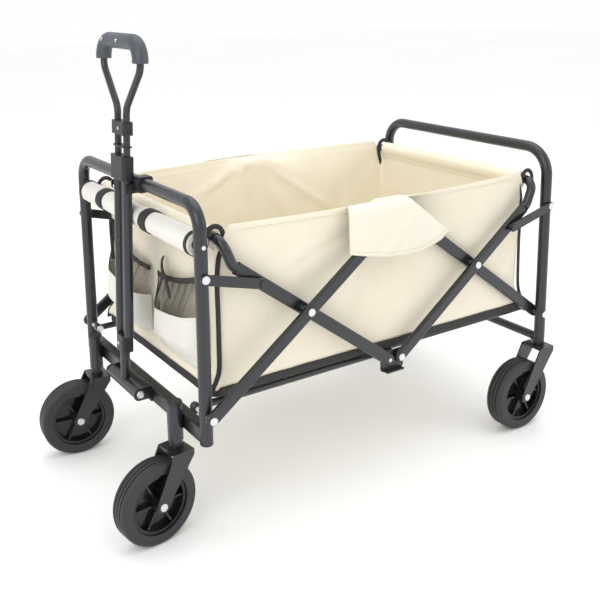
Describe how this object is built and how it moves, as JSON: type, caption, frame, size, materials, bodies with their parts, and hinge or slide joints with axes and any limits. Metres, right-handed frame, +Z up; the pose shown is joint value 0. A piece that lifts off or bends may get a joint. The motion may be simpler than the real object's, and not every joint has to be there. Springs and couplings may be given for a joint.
{
  "type": "folding beach cart",
  "caption": "Folding cart with a fabric tub in a scissor-arm steel frame, caster and fixed wheels, and a telescopic pull handle that tilts.",
  "frame": {"origin": "on the floor, below the middle of the whole outline, cart open", "axes": "-X towards the handle, +Y to the right when facing the handle end, +Z up"},
  "size_m": [1.0781, 0.628, 0.952],
  "materials": {
    "frame_steel": "semi-gloss powder coat",
    "black_plastic": "fine matt texture",
    "grip_plastic": "satin moulding",
    "rim_plastic": "satin moulding",
    "tyre": "matt foam rubber",
    "zinc_fasteners": "bright zinc",
    "cream_cloth": "woven polyester, coated inside",
    "black_mesh": "open mesh and woven webbing",
    "floor_board": "cloth-covered board"
  },
  "bodies": {
    "centre": {"bottom_centre_bracket": "frame_steel", "bottom_centre_pins": "zinc_fasteners"},
    "front_upper": {"front_upper_arms": "frame_steel", "front_hem_bar": "frame_steel", "front_cross_pins": "zinc_fasteners", "front_hem": "cream_cloth"},
    "rear_upper": {"rear_upper_arms": "frame_steel", "rear_hem_bar": "frame_steel", "rear_cross_pins": "zinc_fasteners", "rear_hem": "cream_cloth"},
    "front_lower": {"front_lower_arms": "frame_steel"},
    "rear_lower": {"rear_lower_arms": "frame_steel"},
    "top_hinge": {"top_hinge_brackets": "frame_steel", "top_hinge_pins": "zinc_fasteners", "hinge_flaps": "cream_cloth", "tub_walls": "cream_cloth", "tub_floor": "cream_cloth", "floor_board": "floor_board", "pocket_bags": "cream_cloth", "pocket_meshes": "black_mesh"},
    "front_frame": {"front_frame_tube": "frame_steel", "front_cross_bar": "frame_steel", "front_lower_beam": "frame_steel", "front_leg_feet": "black_plastic", "front_frame_bolts": "zinc_fasteners", "caster_caps": "black_plastic", "handle_mount": "frame_steel", "handle_mount_bolts": "zinc_fasteners", "handle_clip": "black_plastic", "front_roll": "cream_cloth", "roll_straps": "black_mesh"},
    "rear_frame": {"rear_frame_tube": "frame_steel", "rear_frame_bolts": "zinc_fasteners", "rear_forks": "frame_steel", "rear_axles": "zinc_fasteners"},
    "front_link_pair": {"front_links": "frame_steel"},
    "rear_link_pair": {"rear_links": "frame_steel"},
    "front_rail_pair": {"front_floor_rails": "frame_steel"},
    "rear_rail_pair": {"rear_floor_rails": "frame_steel"},
    "caster_left": {"caster_fork_left": "frame_steel", "caster_axle_left": "zinc_fasteners"},
    "caster_right": {"caster_fork_right": "frame_steel", "caster_axle_right": "zinc_fasteners"},
    "front_wheel_left": {"front_wheel_left_rim": "rim_plastic", "front_wheel_left_tyre": "tyre"},
    "front_wheel_right": {"front_wheel_right_rim": "rim_plastic", "front_wheel_right_tyre": "tyre"},
    "rear_wheel_left": {"rear_wheel_left_rim": "rim_plastic", "rear_wheel_left_tyre": "tyre"},
    "rear_wheel_right": {"rear_wheel_right_rim": "rim_plastic", "rear_wheel_right_tyre": "tyre"},
    "handle_lower": {"handle_stem": "frame_steel", "handle_socket": "black_plastic", "handle_outer_tube": "frame_steel", "handle_lock_housing": "black_plastic", "handle_rivets": "zinc_fasteners"},
    "handle_upper": {"handle_loop": "frame_steel", "handle_grip": "grip_plastic", "handle_collar": "black_plastic", "handle_screws": "zinc_fasteners"}
  },
  "joints": [
    {"name": "fold", "type": "hinge", "parent": "centre", "child": "front_upper", "pos_m": [0.0561, 0, 0.266], "axis": [0, 1, 0], "range_deg": [0, 43], "deforming": ["tub_walls", "tub_floor", "floor_board", "pocket_bags", "pocket_meshes"]},
    {"name": "front_lower_arms", "type": "hinge", "parent": "front_upper", "child": "front_lower", "pos_m": [-0.1614, 0, 0.42694], "axis": [0, 1, 0], "range_deg": [-86.01, 0]},
    {"name": "front_frame_level", "type": "hinge", "parent": "front_lower", "child": "front_frame", "pos_m": [-0.3789, 0, 0.266], "axis": [0, 1, 0], "range_deg": [0, 43.01]},
    {"name": "top_hinge_level", "type": "hinge", "parent": "front_lower", "child": "top_hinge", "pos_m": [0.0561, 0, 0.58788], "axis": [0, 1, 0], "range_deg": [0, 43.01]},
    {"name": "rear_upper_arms", "type": "hinge", "parent": "centre", "child": "rear_upper", "pos_m": [0.0861, 0, 0.266], "axis": [0, 1, 0], "range_deg": [-43.01, 0]},
    {"name": "rear_lower_arms", "type": "hinge", "parent": "rear_upper", "child": "rear_lower", "pos_m": [0.3036, 0, 0.42694], "axis": [0, 1, 0], "range_deg": [0, 86.01]},
    {"name": "rear_frame_level", "type": "hinge", "parent": "rear_lower", "child": "rear_frame", "pos_m": [0.5211, 0, 0.266], "axis": [0, 1, 0], "range_deg": [-43.01, 0]},
    {"name": "front_links", "type": "hinge", "parent": "front_frame", "child": "front_link_pair", "pos_m": [-0.3789, 0, 0.5299], "axis": [0, 1, 0], "range_deg": [-91.79, 0]},
    {"name": "rear_links", "type": "hinge", "parent": "rear_frame", "child": "rear_link_pair", "pos_m": [0.5211, 0, 0.5299], "axis": [0, 1, 0], "range_deg": [0, 91.79]},
    {"name": "front_rails", "type": "hinge", "parent": "front_frame", "child": "front_rail_pair", "pos_m": [-0.3789, 0, 0.266], "axis": [0, 1, 0], "range_deg": [-75.39, 0]},
    {"name": "rear_rails", "type": "hinge", "parent": "rear_frame", "child": "rear_rail_pair", "pos_m": [0.5211, 0, 0.266], "axis": [0, 1, 0], "range_deg": [0, 75.39]},
    {"name": "caster_swivel_left", "type": "hinge", "parent": "front_frame", "child": "caster_left", "pos_m": [-0.4039, -0.1995, 0.23], "axis": [0, 0, 1], "continuous": true},
    {"name": "front_wheel_spin_left", "type": "hinge", "parent": "caster_left", "child": "front_wheel_left", "pos_m": [-0.45551, -0.20584, 0.0825], "axis": [-0.1219, 0.9925, 0], "continuous": true},
    {"name": "rear_wheel_spin_left", "type": "hinge", "parent": "rear_frame", "child": "rear_wheel_left", "pos_m": [0.4521, -0.278, 0.0825], "axis": [0, 1, 0], "continuous": true},
    {"name": "caster_swivel_right", "type": "hinge", "parent": "front_frame", "child": "caster_right", "pos_m": [-0.4039, 0.1995, 0.23], "axis": [0, 0, 1], "continuous": true},
    {"name": "front_wheel_spin_right", "type": "hinge", "parent": "caster_right", "child": "front_wheel_right", "pos_m": [-0.4557, 0.20403, 0.0825], "axis": [0.0872, 0.9962, 0], "continuous": true},
    {"name": "rear_wheel_spin_right", "type": "hinge", "parent": "rear_frame", "child": "rear_wheel_right", "pos_m": [0.4521, 0.278, 0.0825], "axis": [0, 1, 0], "continuous": true},
    {"name": "handle_tilt", "type": "hinge", "parent": "front_frame", "child": "handle_lower", "pos_m": [-0.4179, 0, 0.235], "axis": [0, 1, 0], "range_deg": [-85, 0]},
    {"name": "handle_slide", "type": "slide", "parent": "handle_lower", "child": "handle_upper", "axis": [0.0384, 0, 0.9993], "range_m": [0, 0.25]}
  ],
  "couplings": [
    {"joint": "front_lower_arms", "follows": "fold", "ratio": -2},
    {"joint": "front_frame_level", "follows": "fold", "ratio": 1},
    {"joint": "top_hinge_level", "follows": "fold", "ratio": 1},
    {"joint": "rear_upper_arms", "follows": "fold", "ratio": -1},
    {"joint": "rear_lower_arms", "follows": "fold", "ratio": 2},
    {"joint": "rear_frame_level", "follows": "fold", "ratio": -1},
    {"joint": "front_links", "follows": "fold", "ratio": -2.1341},
    {"joint": "rear_links", "follows": "fold", "ratio": 2.1341},
    {"joint": "front_rails", "follows": "fold", "ratio": -1.753},
    {"joint": "rear_rails", "follows": "fold", "ratio": 1.753}
  ]
}
